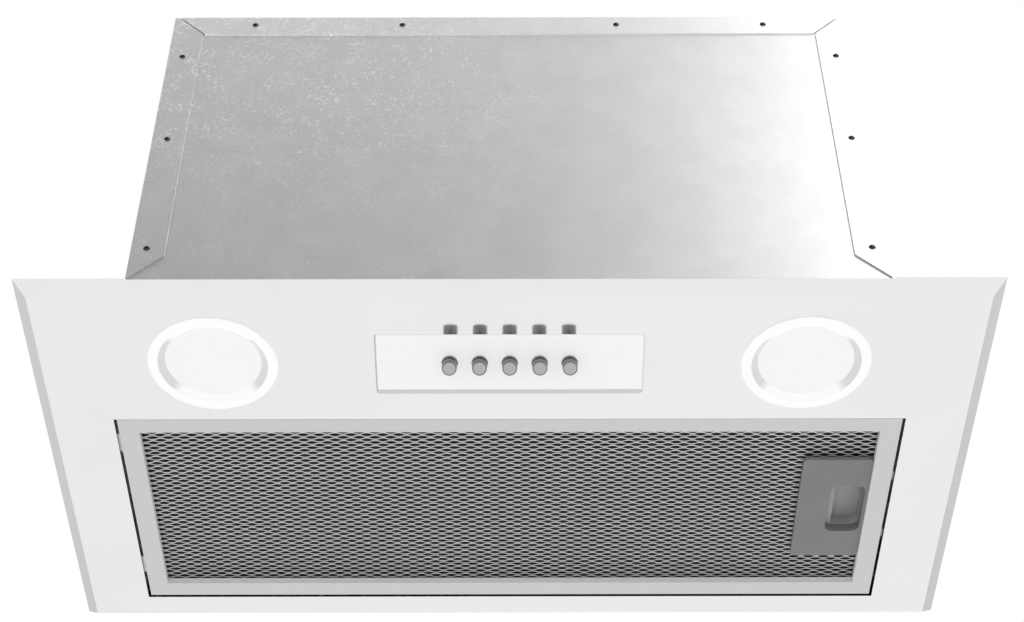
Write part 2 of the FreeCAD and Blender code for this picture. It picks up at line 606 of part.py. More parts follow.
def cable_gland():
    """A screwed gland for the supply cable, open right through."""
    top = CASE_H
    body = rod(6.0, V(GLAND_X, GLAND_Y, top - SHEET - 2 - 8), Z_DIR, 8 + SHEET + 2)
    hexagon = Part.makePolygon([V(GLAND_X + 9 * math.cos(math.radians(60 * i)),
                                  GLAND_Y + 9 * math.sin(math.radians(60 * i)), top)
                                for i in range(7)])
    flats = Part.Face(hexagon).extrude(Z_DIR * 5)
    dome = rod(7.6, V(GLAND_X, GLAND_Y, top + 5), Z_DIR, 9)
    dome = dome.makeFillet(2.4, [e for e in dome.Edges if e.BoundBox.ZMin > top + 13])
    gland = fuse(body, flats, dome)
    return gland.cut(rod(4.0, V(GLAND_X, GLAND_Y, top - 20), Z_DIR, 50))


def gland_nut():
    z = CASE_H - SHEET - 2
    outline = Part.makePolygon([V(GLAND_X + 10 * math.cos(math.radians(60 * i)),
                                  GLAND_Y + 10 * math.sin(math.radians(60 * i)), z - 4)
                                for i in range(7)])
    return Part.Face(outline).extrude(Z_DIR * 4).cut(rod(6.0, V(GLAND_X, GLAND_Y, z - 9), Z_DIR, 20))


def led_driver():
    top = CASE_H - SHEET
    return rounded_box(95.0, 165.0, -60.0, -25.0, top - 22.0, top, 3.0)


# ---------------------------------------------------------------- controls

def wedge_point(run, depth):
    """A point of the leaning face: run along it from its front edge, depth in from it."""
    start = V(0, CONTROL_FRONT, FACE_Z)
    along = V(0, math.cos(LEAN), -math.sin(LEAN))
    return start + along * run + PUSH * depth


def wedge_form(inset):
    """The control panel's outer form, its back standing on the trim, shrunk by inset."""
    y0, z0 = CONTROL_FRONT, FACE_Z
    y1, z1 = y0 + WEDGE_Y, z0 - WEDGE_Z
    y2, z2 = y1 + WEDGE_LIP, z1 + LIP_RISE
    half, rear_half = CONTROL_W / 2 - inset, (CONTROL_W - CONTROL_DRAFT) / 2 - inset
    top, deep = FACE_Z + 8, FACE_Z - 40
    profile = [V(-90, y0, top), V(-90, y0, z0), V(-90, y1, z1), V(-90, y2, z2), V(-90, y2, top)]
    side_view = moved(plate(profile, X_DIR * 180), 0, 0, inset * 1.15)
    corners = [V(-half, y0 + inset, deep), V(half, y0 + inset, deep), V(rear_half, y2 - inset, deep),
               V(-rear_half, y2 - inset, deep)]
    plan_view = plate(corners, Z_DIR * (top - deep))
    rear_edges = [e for e in plan_view.Edges
                  if abs(e.tangentAt(e.FirstParameter).z) > 0.99 and e.CenterOfMass.y > y1]
    plan_view = plan_view.makeFillet(CORNER_R - inset * 0.8, rear_edges)
    return side_view.common(plan_view)


def control_housing():
    outer = wedge_form(0)
    above = box(-90, 90, CONTROL_FRONT - 5, CONTROL_FRONT + 60, FACE_Z, FACE_Z + 30)
    neck = control_slot().common(box(-90, 90, -200, 0, FACE_Z - 1, FACE_Z + 2.4))
    shell = outer.cut(above).fuse(neck)
    hollow = wedge_form(2.0).common(box(-90, 90, -200, 0, FACE_Z - 40, FACE_Z))
    well = neck.BoundBox
    shaft = box(well.XMin + 1.6, well.XMax - 1.6, well.YMin + 1.6, well.YMax - 1.6, FACE_Z - 3, 10)
    shell = shell.cut(hollow).cut(shaft.common(box(-90, 90, -200, 0, FACE_Z - 1, 10)))
    for x in BUTTON_X:
        point = wedge_point(BUTTON_RUN, -3)
        shell = shell.cut(rod(BUTTON_HOLE_R, V(x, point.y, point.z), PUSH, 12))
    return shell.removeSplitter()


def button(x):
    """A stepped round button. Its stem carries on inwards to the switch."""
    def at(depth):
        point = wedge_point(BUTTON_RUN, depth)
        return V(x, point.y, point.z)
    cap = rod(BUTTON_R, at(-BUTTON_OUT), PUSH, BUTTON_OUT + 2)
    base = rod(BUTTON_BASE_R, at(-BUTTON_STEP_OUT), PUSH, BUTTON_STEP_OUT + 3.5)
    stem = rod(1.6, at(3.0), PUSH, SWITCH_DEPTH - 2.0)
    return fuse(cap, base, stem)


def switch_block():
    """The five-way switch behind the buttons, square to their line of travel, with two ears."""
    body = turned(box(-42.0, 42.0, -5.0, 5.0, 0, 15.0), O, X_DIR, -math.degrees(LEAN))
    point = wedge_point(BUTTON_RUN, SWITCH_DEPTH)
    body = moved(body, 0, point.y, point.z)
    neck = box(-42.0, 42.0, SWITCH_Y - 5, SWITCH_Y + 4, 6.0, STRAP_Z + 1.0)
    ears = box(-58.0, 58.0, SWITCH_Y - 8, SWITCH_Y + 8, STRAP_Z + 1.0, STRAP_Z + 3.0)
    body = fuse(body, neck, ears)
    for x in BUTTON_X:
        start = V(x, point.y, point.z) - PUSH
        body = body.cut(rod(1.9, start, PUSH, BUTTON_TRAVEL + 3.0))
    for x, y in switch_screw_spots():
        body = body.cut(rod(1.4, V(x, y, STRAP_Z), Z_DIR, 6))
    return body


def switch_screw_spots():
    return [(-51.0, SWITCH_Y), (51.0, SWITCH_Y)]


def switch_carrier():
    """A steel strap across the front of the base frame, which carries the switch."""
    z = STRAP_Z
    y0, y1 = -126.0, TRAY_FRONT - 1.0
    strap = box(-60.0, 60.0, y0, y1, z, z + 1.0)
    strap = strap.cut(box(-44.0, 44.0, SWITCH_Y - 18, SWITCH_Y + 16, z - 1, z + 2))
    front_foot = box(-60.0, 60.0, y0 - 1.0, y0, 0, z + 1.0)
    rear_foot = box(-60.0, 60.0, y1, y1 + 1.0, 0, z + 1.0)
    carrier = fuse(strap, front_foot, rear_foot)
    for x, y in switch_screw_spots():
        carrier = carrier.cut(rod(1.4, V(x, y, z - 1), Z_DIR, 6))
    return carrier


def switch_screws():
    top = STRAP_Z + 3.0
    return group([screw(V(x, y, top), Z_DIR * -1, 3.0, 1.8, 1.4, 5.0) for x, y in switch_screw_spots()])


# ---------------------------------------------------------------- lamps

def lamp_bezel(x):
    low = FACE_Z - LAMP_PROUD
    ring = rod(LAMP_R, V(x, LAMP_Y, low), Z_DIR, LAMP_PROUD)
    ring = ring.makeFillet(LAMP_EDGE_R, [e for e in ring.Edges if abs(e.BoundBox.ZMax - low) < 0.01
                                 and e.Length > 10])
    barrel = rod(LAMP_HOLE_R - 0.2, V(x, LAMP_Y, FACE_Z), Z_DIR, 14.0)
    bezel = fuse(ring, barrel)
    bezel = bezel.cut(cone(LAMP_RIM_R, LENS_R, x, LAMP_Y, low, LENS_Z))
    bezel = bezel.cut(rod(LENS_R + 3.0, V(x, LAMP_Y, LENS_Z), Z_DIR, 40.0))
    bezel = bezel.cut(rod(LENS_R, V(x, LAMP_Y, low - 1), Z_DIR, 20.0))
    return bezel


def lamp_lens(x):
    return rod(LENS_R + 2.9, V(x, LAMP_Y, LENS_Z), Z_DIR, 1.8)


def led_board(x):
    board = rod(LENS_R + 1.0, V(x, LAMP_Y, LENS_Z + 4.0), Z_DIR, 1.2)
    chips = []
    for i in range(LEDS):
        angle = math.radians(18 + i * 360.0 / LEDS)
        cx, cy = x + LED_RING_R * math.cos(angle), LAMP_Y + LED_RING_R * math.sin(angle)
        chips.append(box(cx - 1.6, cx + 1.6, cy - 1.6, cy + 1.6, LENS_Z + 3.2, LENS_Z + 4.0))
    return board.fuse(chips).removeSplitter()


def lamp_clips():
    """Spring leaves that pull each lamp up against the trim."""
    clips = []
    for x in (-LAMP_X, LAMP_X):
        for side in (-1, 1):
            y = LAMP_Y + side * (LAMP_HOLE_R - 0.2)
            y0, y1 = sorted((y, y + side * 0.6))
            foot0, foot1 = sorted((y, y + side * 4.0))
            leaf = box(x - 4, x + 4, y0, y1, FACE_Z + PANEL_T, 7.0)
            foot = box(x - 4, x + 4, foot0, foot1, FACE_Z + PANEL_T, FACE_Z + PANEL_T + 0.6)
            clips.append(fuse(leaf, foot))
    return group(clips)


# ---------------------------------------------------------------- grease filter

def filter_ring(inset, wall, front_wall, z0, z1):
    """A flat ring, inset from the frame's outline, with its own wall width at the front."""
    w, y0, y1 = FRAME_HALF_W - inset, FRAME_FRONT + inset, FRAME_REAR - inset
    outer = box(-w, w, y0, y1, z0, z1)
    return outer.cut(box(-w + wall, w - wall, y0 + front_wall, y1 - wall, z0 - 1, z1 + 1))


def filter_frame():
    w, t = FRAME_HALF_W, FRAME_T
    low_band = filter_ring(0, BAND, BAND_FRONT, FACE_Z, FACE_Z + t)
    outer_wall = filter_ring(0, t, t, FACE_Z, FRAME_TOP)
    inner_lip = filter_ring(BAND - t, t, t, FACE_Z, MESH_Z)
    inner_lip = inner_lip.cut(box(-w, w, FRAME_FRONT, FRAME_FRONT + BAND, FACE_Z, MESH_Z))
    front_lip = box(-w + BAND - t, w - BAND + t, FRAME_FRONT + BAND_FRONT - t,
                    FRAME_FRONT + BAND_FRONT, FACE_Z, MESH_Z)
    sides = [box(x, x + t, FRAME_FRONT + BAND_FRONT - t, FRAME_FRONT + BAND + 1, FACE_Z, MESH_Z)
             for x in (-w + BAND - t, w - BAND)]
    top_band = filter_ring(0, BAND - 2.0, BAND_FRONT - 2.0, MESH_TOP, FRAME_TOP)
    frame = fuse(low_band, outer_wall, inner_lip, front_lip, top_band, *sides)
    slot_half = TONGUE_W / 2 + 0.4
    for y in TONGUE_SPOTS:
        frame = frame.cut(box(w - 3, w + 1, FILTER_Y + y - slot_half, FILTER_Y + y + slot_half,
                              HOOK_Z - 0.4, HOOK_Z + HOOK_T + 0.4))
    for y in HOOK_SPOTS:
        hook = box(-w - HOOK_OUT, -w + t, FILTER_Y + y - HOOK_HALF, FILTER_Y + y + HOOK_HALF,
                   HOOK_Z, HOOK_Z + HOOK_T)
        frame = frame.fuse(hook)
    return frame.removeSplitter()


def mesh_outer():
    """The outer layer of the pack, drawn as a plain sheet."""
    inset = FRAME_T + 0.2
    w = FRAME_HALF_W - inset
    sheet = box(-w, w, FRAME_FRONT + inset, FRAME_REAR - inset, MESH_Z, MESH_Z + FOIL_T)
    return sheet.cut(box(MESH_NOTCH_X, w + 1, FILTER_Y - MESH_NOTCH_HALF, FILTER_Y + MESH_NOTCH_HALF,
                         MESH_Z - 1, MESH_TOP + 1))


def mesh_core():
    """The inner layers of expanded foil, drawn as one corrugated sheet with a notch for the latch."""
    inset = FRAME_T + 0.4
    w, depth = FRAME_HALF_W - inset, FRAME_REAR - FRAME_FRONT - 2 * inset
    foil, pitch = 0.4, 6.0
    low, high = MESH_Z + FOIL_T + 0.05, MESH_TOP - 0.05 - foil
    count = int(2 * w / pitch)
    crest = [V(-w + i * pitch, 0, high if i % 2 else low) for i in range(count + 1)]
    under = [p + Z_DIR * foil for p in reversed(crest)]
    sheet = moved(plate(crest + under, Y_DIR * depth), 0, FRAME_FRONT + inset, 0)
    return sheet.cut(box(MESH_NOTCH_X, w + 1, FILTER_Y - MESH_NOTCH_HALF, FILTER_Y + MESH_NOTCH_HALF,
                         low - 1, MESH_TOP + 1))


def handle_plate():
    y0, y1 = FILTER_Y - HANDLE_HALF, FILTER_Y + HANDLE_HALF
    skirt = rounded_box(HANDLE_X0, HANDLE_X1, y0, y1, HANDLE_Z, MESH_Z, 3.0)
    under = box(HANDLE_X0 + 1.2, HANDLE_X1 - 1.2, y0 + 1.2, y1 - 1.2, HANDLE_Z + HANDLE_T, MESH_Z + 1)
    grip = skirt.cut(under)
    wy0, wy1 = FILTER_Y - WINDOW_HALF, FILTER_Y + WINDOW_HALF
    rim = rounded_box(WINDOW_X0 - 1.2, WINDOW_X1 + 1.2, wy0 - 1.2, wy1 + 1.2, HANDLE_Z, LATCH_Z - 0.3,
                      WINDOW_R + 1.2)
    hole = rounded_box(WINDOW_X0, WINDOW_X1, wy0, wy1, HANDLE_Z - 1, LATCH_Z + 1, WINDOW_R)
    grip = grip.fuse(rim).cut(hole)
    post = box(POST_X0, POST_X1, FILTER_Y - 5, FILTER_Y + 5, HANDLE_Z + 1, LATCH_Z + 2.4)
    rails = []
    for side in (-1, 1):
        wall0, wall1 = sorted((side * (SLIDE_HALF + 0.3), side * (SLIDE_HALF + 1.5)))
        lip0, lip1 = sorted((side * (SLIDE_HALF - 1.6), side * (SLIDE_HALF + 1.5)))
        top = LATCH_Z + LATCH_T + 1.2
        wall = box(RAIL_X0, RAIL_X1, FILTER_Y + wall0, FILTER_Y + wall1, HANDLE_Z + 1, top)
        lip = box(RAIL_X0, RAIL_X1, FILTER_Y + lip0, FILTER_Y + lip1, top - 0.9, top)
        rails.append(wall.fuse(lip))
    return fuse(grip, post, *rails)


def latch_slider():
    """The finger cup with its slide plate, and two tongues that reach out past the filter's edge."""
    z0, z1 = LATCH_Z, LATCH_Z + LATCH_T
    cup_x0 = WINDOW_X0 + LATCH_TRAVEL
    slide = box(SLIDE_X0, SLIDE_X1, FILTER_Y - SLIDE_HALF, FILTER_Y + SLIDE_HALF, z0, z1)
    cup = box(cup_x0 - 1.2, WINDOW_X1 + 1.2, FILTER_Y - WINDOW_HALF - 1.2,
              FILTER_Y + WINDOW_HALF + 1.2, z0, CUP_TOP + 1.2)
    slider = slide.fuse(cup)
    y0, y1 = FILTER_Y - WINDOW_HALF, FILTER_Y + WINDOW_HALF
    inner = rounded_box(cup_x0, WINDOW_X1 + 20, y0, y1, z0 - 1, CUP_TOP, 1.0)
    inner = inner.common(rounded_box(WINDOW_X0 - 20, WINDOW_X1, y0, y1, z0 - 1, CUP_TOP, WINDOW_R))
    slider = slider.cut(inner)
    front, rear = TONGUE_SPOTS
    bar = box(ARM_X0, SLIDE_X1, FILTER_Y + front - TONGUE_W / 2, FILTER_Y + rear + TONGUE_W / 2, z0, z1)
    slider = slider.fuse(bar.cut(inner))
    for y in TONGUE_SPOTS:
        y0, y1 = FILTER_Y + y - TONGUE_W / 2, FILTER_Y + y + TONGUE_W / 2
        arm = box(ARM_X0, DROP_X1, y0, y1, z0, z1)
        drop = box(DROP_X0, DROP_X1, y0, y1, HOOK_Z, z1)
        tongue = box(DROP_X0, TONGUE_TIP, y0, y1, HOOK_Z, HOOK_Z + HOOK_T)
        slider = slider.fuse([arm.cut(inner), drop, tongue])
    return slider.removeSplitter()


def latch_spring():
    """A small coil spring between the handle's post and the slide plate."""
    x0, x1, wire = POST_X1, SLIDE_X0, 0.25
    helix = Part.makeHelix(1.4, x1 - x0 - 2 * wire, 0.9)
    ring = Part.Wire(Part.makeCircle(wire, V(0.9, 0, 0), Y_DIR))
    coil = Part.Wire(helix).makePipeShell([ring], True, True)
    coil = turned(coil, O, Y_DIR, 90.0)
    return moved(coil, x0 + wire, FILTER_Y, LATCH_Z + LATCH_T / 2)


def build():
    os.makedirs("parts", exist_ok=True)
    save("face_panel", face_panel())
    save("panel_clips", panel_clips())
    save("base_frame", base_frame())
    save("front_sheet", front_sheet())
    save("left_side_panel", side_panel())
    save("right_side_panel", mirrored_x(side_panel()))
    save("top_panel", top_panel())
    save("rear_panel", rear_panel())
    save("case_rivets", case_rivets())
    save("outlet_collar", outlet_collar())
    save("collar_screws", collar_screws())
    save("damper_pin", damper_pin())
    save("damper_flap_left", damper_flap(-1))
    save("damper_flap_right", damper_flap(1))
    save("scroll_left", scroll_half(-1))
    save("scroll_right", scroll_half(1))
    save("scroll_screws", scroll_screws())
    save("inlet_ring_left", inlet_ring(-1))
    save("inlet_ring_right", inlet_ring(1))
    save("impeller", impeller())
    save("motor_shaft", motor_shaft())
    save("motor_rotor", motor_rotor())
    save("motor_stator", motor_stator())
    save("motor_can", motor_can())
    save("motor_end_cap", motor_end_cap())
    save("motor_bearings", group([bearing(MOTOR_X0 - 2), bearing(MOTOR_X1 - 3)]))
    save("motor_bracket", motor_bracket())
    save("motor_grommets", motor_grommets())
    save("motor_screws", motor_screws())
    save("outlet_adaptor", outlet_adaptor())
    save("capacitor", capacitor())
    save("capacitor_clip", capacitor_clip())
    save("terminal_box", terminal_box())
    save("terminal_box_lid", terminal_box_lid())
    save("terminal_block", terminal_block())
    save("cable_gland", cable_gland())
    save("gland_nut", gland_nut())
    save("led_driver", led_driver())
    save("control_housing", control_housing())
    for i, x in enumerate(BUTTON_X):
        save("button_%d" % (i + 1), button(x))
    save("switch_block", switch_block())
    save("switch_carrier", switch_carrier())
    save("switch_screws", switch_screws())
    for side, x in (("left", -LAMP_X), ("right", LAMP_X)):
        save("lamp_bezel_" + side, lamp_bezel(x))
        save("lamp_lens_" + side, lamp_lens(x))
        save("led_board_" + side, led_board(x))
    save("lamp_clips", lamp_clips())
    save("filter_frame", filter_frame())
    save("filter_mesh_outer", mesh_outer())
    save("filter_mesh_core", mesh_core())
    save("handle_plate", handle_plate())
    save("latch_slider", latch_slider())
    save("latch_spring", latch_spring())


build()
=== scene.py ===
import json
import math

import bmesh
import bpy
from mathutils import Matrix, Vector


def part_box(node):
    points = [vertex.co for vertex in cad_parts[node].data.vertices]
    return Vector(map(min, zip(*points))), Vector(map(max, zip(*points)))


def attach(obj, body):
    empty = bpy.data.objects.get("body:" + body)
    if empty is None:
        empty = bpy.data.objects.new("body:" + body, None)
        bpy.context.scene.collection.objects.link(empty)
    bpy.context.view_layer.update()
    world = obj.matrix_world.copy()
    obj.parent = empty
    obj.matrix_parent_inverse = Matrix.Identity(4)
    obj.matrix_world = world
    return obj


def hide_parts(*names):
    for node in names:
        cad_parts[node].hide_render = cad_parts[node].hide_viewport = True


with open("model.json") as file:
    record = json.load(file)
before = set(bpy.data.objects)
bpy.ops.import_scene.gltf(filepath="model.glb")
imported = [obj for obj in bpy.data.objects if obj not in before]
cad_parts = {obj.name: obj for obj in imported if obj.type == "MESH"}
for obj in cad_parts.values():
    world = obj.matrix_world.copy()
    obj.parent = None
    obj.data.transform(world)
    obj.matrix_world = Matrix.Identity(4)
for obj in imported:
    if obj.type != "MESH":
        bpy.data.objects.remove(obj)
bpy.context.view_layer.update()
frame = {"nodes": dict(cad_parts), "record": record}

# Looks of the range hood. Metres, +Z up, -Y is the front, and the origin is the centre of the trim's rim.

NODES = frame["nodes"]
MM = 0.001
WHITE = (1.0, 1.0, 1.0)


# ---------------------------------------------------------------- places worked out from the frame

FILTER_LOW, FILTER_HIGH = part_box("filter_frame")
FILTER_Y = (FILTER_LOW.y + FILTER_HIGH.y) / 2
MESH_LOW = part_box("filter_mesh_outer")[0]
LENS_SPOTS = {side: sum(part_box("lamp_lens_" + side), Vector()) / 2 for side in ("left", "right")}


# ---------------------------------------------------------------- places where a look changes

# A pair is the start and the end of a change from one look to the other.
# painted shade: the trim's walls round the filter opening are painted near black
OPENING_SIDE, OPENING_REAR = (-0.212, -0.2), (-0.11, -0.1)      # the trim's walls that look inwards

# painted shade on the control face: a border along its front and sides
HOUSING_SIDE = (0.06782, 0.06802)            # half the width inside the control face's border, at y = 0
HOUSING_TAPER = 0.0327                       # what that half width gains per metre towards the front
HOUSING_FRONT = (-0.10625, -0.1060)

# where the painted shade on the slope inside the lamp ring starts and ends
LAMP_SLOPE = (-0.014, -0.006)
LED_COUNT, LED_RING_R, LED_TURN = 5, 14 * MM, 18
LED_SPOT = (0.0005, 0.0055)

BUTTON_AXIS = (0.0, -0.4775, -0.8787)        # out of the leaning control face
BUTTON_DOWN = (0.0, 0.8787, -0.4775)         # down that face
BUTTON_ROW = -0.07413                        # of the buttons' centres, along BUTTON_DOWN
BUTTON_PITCH = 16 * MM
# a black band of painted shadow round each button
BUTTON_SHADOW_LOW, BUTTON_SHADOW_HIGH = (0.0588, 0.0591), (0.0609, 0.0612)      # along BUTTON_AXIS
# the tip's rounded edge beyond this radius gets painted shade
BUTTON_TIP = (0.0650, 0.0655)
BUTTON_RIM_R = (0.00325, 0.0034)

FLANGE_Z = 0.2124                            # where the top flange starts, over the front sheet
FLANGE_EDGE = (-0.0003, 0.0003)
MITRE_SLOPE, MITRE_X = 1.11, (0.1825, 0.183)
# the zinc beyond these places is painted near black as painted shade
TRAY_REAR_Y, TRAY_REAR_Z = (0.1175, 0.118), (0.012, 0.014)      # the tray's wall behind the filter
TRAY_UNDERSIDE = (-0.0012, -0.0006)

# the inner lips within these places glow as painted light
LIP_SIDE, LIP_REAR = (-0.19, -0.15), (0.08, 0.09)               # the filter frame's inner lips


# ---------------------------------------------------------------- node helpers

def grey(level):
    return level, level, level


class Tree:
    """A node tree with short ways to add and join nodes."""

    def __init__(self, tree):
        self.tree = tree

    def node(self, kind, **inputs):
        """A new node. Its inputs go by name, or by number as i0, i1 and so on."""
        made = self.tree.nodes.new(kind)
        for key, value in inputs.items():
            socket = made.inputs[int(key[1:])] if key[0] == "i" and key[1:].isdigit() else made.inputs[key]
            self.feed(socket, value)
        return made

    def feed(self, socket, value):
        if isinstance(value, bpy.types.NodeSocket):
            self.tree.links.new(value, socket)
        elif isinstance(value, tuple) and socket.type == "RGBA":
            socket.default_value = (*value, 1.0)
        else:
            socket.default_value = value

    def place(self):
        return self.node("ShaderNodeTexCoord").outputs["Object"]

    def normal(self):
        return self.node("ShaderNodeNewGeometry").outputs["Normal"]

    def axes(self, vector):
        return self.node("ShaderNodeSeparateXYZ", Vector=vector).outputs

    def vectors(self, operation, a, b, output="Vector"):
        made = self.node("ShaderNodeVectorMath", i0=a, i1=b)
        made.operation = operation
        return made.outputs[output]

    def dot(self, a, b):
        return self.vectors("DOT_PRODUCT", a, b, "Value")

    def math(self, operation, a, b=0.0):
        made = self.node("ShaderNodeMath", i0=a, i1=b)
        made.operation = operation
        return made.outputs["Value"]

    def chain(self, operation, values):
        made = values[0]
        for value in values[1:]:
            made = self.math(operation, made, value)
        return made

    def plus(self, *values):
        return self.chain("ADD", values)

    def minus(self, a, b):
        return self.math("SUBTRACT", a, b)

    def times(self, *values):
        return self.chain("MULTIPLY", values)

    def most(self, *values):
        return self.chain("MAXIMUM", values)

    def size(self, value):
        return self.math("ABSOLUTE", value)

    def span(self, value, low, high, from_low=0.0, from_high=1.0):
        """Goes from low to high while the value goes from from_low to from_high, and stays level outside."""
        made = self.node("ShaderNodeMapRange", Value=value)
        made.inputs["From Min"].default_value = from_low
        made.inputs["From Max"].default_value = from_high
        made.inputs["To Min"].default_value = low
        made.inputs["To Max"].default_value = high
        return made.outputs["Result"]

    def over(self, value, start, end):
        """0 up to the start, 1 from the end on."""
        return self.span(value, 0.0, 1.0, start, end)

    def under(self, value, start, end):
        """1 up to the start, 0 from the end on."""
        return self.span(value, 1.0, 0.0, start, end)

    def outward(self, at, axis):
        """How far a face is from the middle along an axis, negative where it looks back to the middle."""
        return self.times(self.axes(at)[axis], self.axes(self.normal())[axis])

    def stretched(self, vector, scale):
        return self.node("ShaderNodeMapping", Vector=vector, Scale=scale).outputs["Vector"]

    def noise(self, vector, scale, detail=3.0):
        return self.node("ShaderNodeTexNoise", Vector=vector, Scale=scale, Detail=detail).outputs["Fac"]

    def ramp(self, value, *stops):
        """A colour for each (place, colour) stop, blended between them."""
        made = self.node("ShaderNodeValToRGB", Fac=value)
        for element, (at, colour) in zip(made.color_ramp.elements, stops):
            element.position = at
            element.color = (*colour, 1.0)
        return made.outputs["Color"]

    def mix(self, factor, a, b):
        made = self.tree.nodes.new("ShaderNodeMix")
        made.data_type = "RGBA"
        for socket, value in ((made.inputs[0], factor), (made.inputs[6], a), (made.inputs[7], b)):
            self.feed(socket, value)
        return made.outputs[2]

    def bump(self, height, strength, distance):
        made = self.node("ShaderNodeBump", Height=height, Strength=strength, Distance=distance)
        return made.outputs["Normal"]


class Shader(Tree):
    """A new material and its node tree."""

    INPUTS = {"base": "Base Color", "rough": "Roughness", "metal": "Metallic", "coat": "Coat Weight",
              "coat_rough": "Coat Roughness", "ior": "IOR", "specular": "Specular IOR Level",
              "normal": "Normal", "glow": "Emission Color", "glow_strength": "Emission Strength"}

    def __init__(self, name):
        self.material = bpy.data.materials.new(name)
        self.material.use_nodes = True
        super().__init__(self.material.node_tree)

    def set(self, **values):
        principled = self.tree.nodes["Principled BSDF"]
        for key, value in values.items():
            self.feed(principled.inputs[self.INPUTS[key]], value)
        return self.material


# ---------------------------------------------------------------- materials

def painted_white():
    """Glossy white enamel that mirrors what is in front of it. Its walls that look inwards, round the filter
    opening, are painted near black as painted shade.
    """
    s = Shader("painted_white")
    at = s.place()
    cloud = s.noise(at, 9.0, 2.0)
    paint = s.ramp(cloud, (0.3, (0.815, 0.817, 0.821)), (0.7, (0.835, 0.837, 0.841)))
    peel = s.noise(at, 420.0, 2.0)
    # painted shade: the walls round the filter opening are coloured near black
    edge = s.most(s.under(s.outward(at, "X"), *OPENING_SIDE), s.under(s.outward(at, "Y"), *OPENING_REAR))
    return s.set(base=s.mix(edge, paint, grey(0.02)), metal=0.94, rough=s.span(cloud, 0.09, 0.12), coat=0.3,
                 coat_rough=0.04, normal=s.bump(peel, 0.02, 0.0002))


def white_plastic():
    """Glossy white plastic. Its glow is painted light that flattens the shade round the buttons. Painted
    shade makes it greyer on faces turned to the rear, in a line along its front and at its sides, most on the
    left.
    """
    s = Shader("white_plastic")
    at = s.place()
    here = s.axes(at)
    cloud = s.noise(at, 30.0)
    # painted shade: greyer on faces turned to the rear, along the front and at the sides
    rear = s.span(s.axes(s.normal())["Y"], 0.0, 0.6, 0.2, 0.4)
    front = s.span(here["Y"], 0.3, 0.0, *HOUSING_FRONT)
    across = s.plus(s.size(here["X"]), s.times(here["Y"], HOUSING_TAPER))
    sides = s.times(s.over(across, *HOUSING_SIDE), s.span(here["X"], 1.0, 0.5, -0.01, 0.01))
    painted_shade = s.most(rear, front, sides)
    tone = s.mix(painted_shade, s.ramp(cloud, (0.25, grey(0.40)), (0.75, grey(0.42))), grey(0.25))
    grain = s.noise(at, 1600.0, 2.0)
    # the glow is painted light, weaker where the painted shade lies
    return s.set(base=tone, rough=s.span(cloud, 0.16, 0.22), specular=0.5, glow=WHITE,
                 glow_strength=s.span(painted_shade, 0.50, 0.22), normal=s.bump(grain, 0.03, 0.0001))


def lamp_white(side):
    """The lamp's white ring, brightened by a glow that is painted light. Painted shade makes the slope inside
    it a little darker to the left and right.
    """
    s = Shader("lamp_white_" + side)
    at = s.place()
    normal = s.normal()
    inward = s.dot(s.vectors("SUBTRACT", at, tuple(LENS_SPOTS[side])), normal)
    # painted shade on the left and right of the slope
    shade = s.times(s.under(inward, *LAMP_SLOPE), s.over(s.size(s.axes(normal)["X"]), 0.4, 0.48))
    cloud = s.noise(at, 30.0)
    tone = s.mix(shade, s.ramp(cloud, (0.25, grey(0.52)), (0.75, grey(0.54))), grey(0.34))
    # the ring's glow is painted light
    return s.set(base=tone, rough=0.22, specular=0.5, glow=WHITE, glow_strength=s.span(shade, 0.44, 0.34))


def lamp_lens(side):
    """Frosted cover with five faint bright spots where the LEDs sit behind it."""
    s = Shader("lamp_lens_" + side)
    at = s.place()
    centre = LENS_SPOTS[side]
    spots = []
    for i in range(LED_COUNT):
        angle = math.radians(360 / LED_COUNT * i + LED_TURN)
        led = (centre.x + LED_RING_R * math.cos(angle), centre.y + LED_RING_R * math.sin(angle), centre.z)
        spots.append(s.under(s.vectors("DISTANCE", at, led, "Value"), *LED_SPOT))
    lit = s.most(*spots)
    frost = s.noise(at, 900.0)
    tone = s.mix(s.times(lit, 0.5), grey(0.50), grey(0.51))
    return s.set(base=tone, rough=s.span(frost, 0.3, 0.42), glow=WHITE,
                 glow_strength=s.span(lit, 0.40, 0.41), normal=s.bump(frost, 0.05, 0.0001))


def button_metal():
    """Satin metal buttons. Painted shade darkens the rounded edge of each tip and the glossy sides, and a
    black band near the base of each button is a painted shadow.
    """
    s = Shader("grey_button")
    at = s.place()
    out = s.dot(at, BUTTON_AXIS)
    down = s.minus(s.dot(at, BUTTON_DOWN), BUTTON_ROW)
    column = s.plus(s.times(s.axes(at)["X"], 1 / BUTTON_PITCH), 0.5)
    across = s.minus(s.times(s.math("FRACT", column), BUTTON_PITCH), BUTTON_PITCH / 2)
    away = s.math("SQRT", s.plus(s.times(down, down), s.times(across, across)))
    # painted shade: the sides are dark and the tip's edge darker, and the black band is a painted shadow
    end = s.over(s.dot(s.normal(), BUTTON_AXIS), 0.6, 0.8)
    rim = s.times(s.over(out, *BUTTON_TIP), s.over(away, *BUTTON_RIM_R))
    neck = s.over(out, *BUTTON_SHADOW_LOW)
    gap_shadow = s.times(neck, s.under(out, *BUTTON_SHADOW_HIGH))
    cloud = s.noise(at, 900.0, 2.0)
    tip = s.mix(rim, s.ramp(cloud, (0.25, grey(0.41)), (0.75, grey(0.44))), grey(0.16))
    wall = s.mix(s.most(rim, gap_shadow), s.mix(neck, grey(0.12), grey(0.04)), grey(0.003))
    return s.set(base=s.mix(end, wall, tip), metal=end, rough=s.span(end, 0.1, 0.24), ior=2.2,
                 specular=s.span(gap_shadow, 0.5, 0.0))


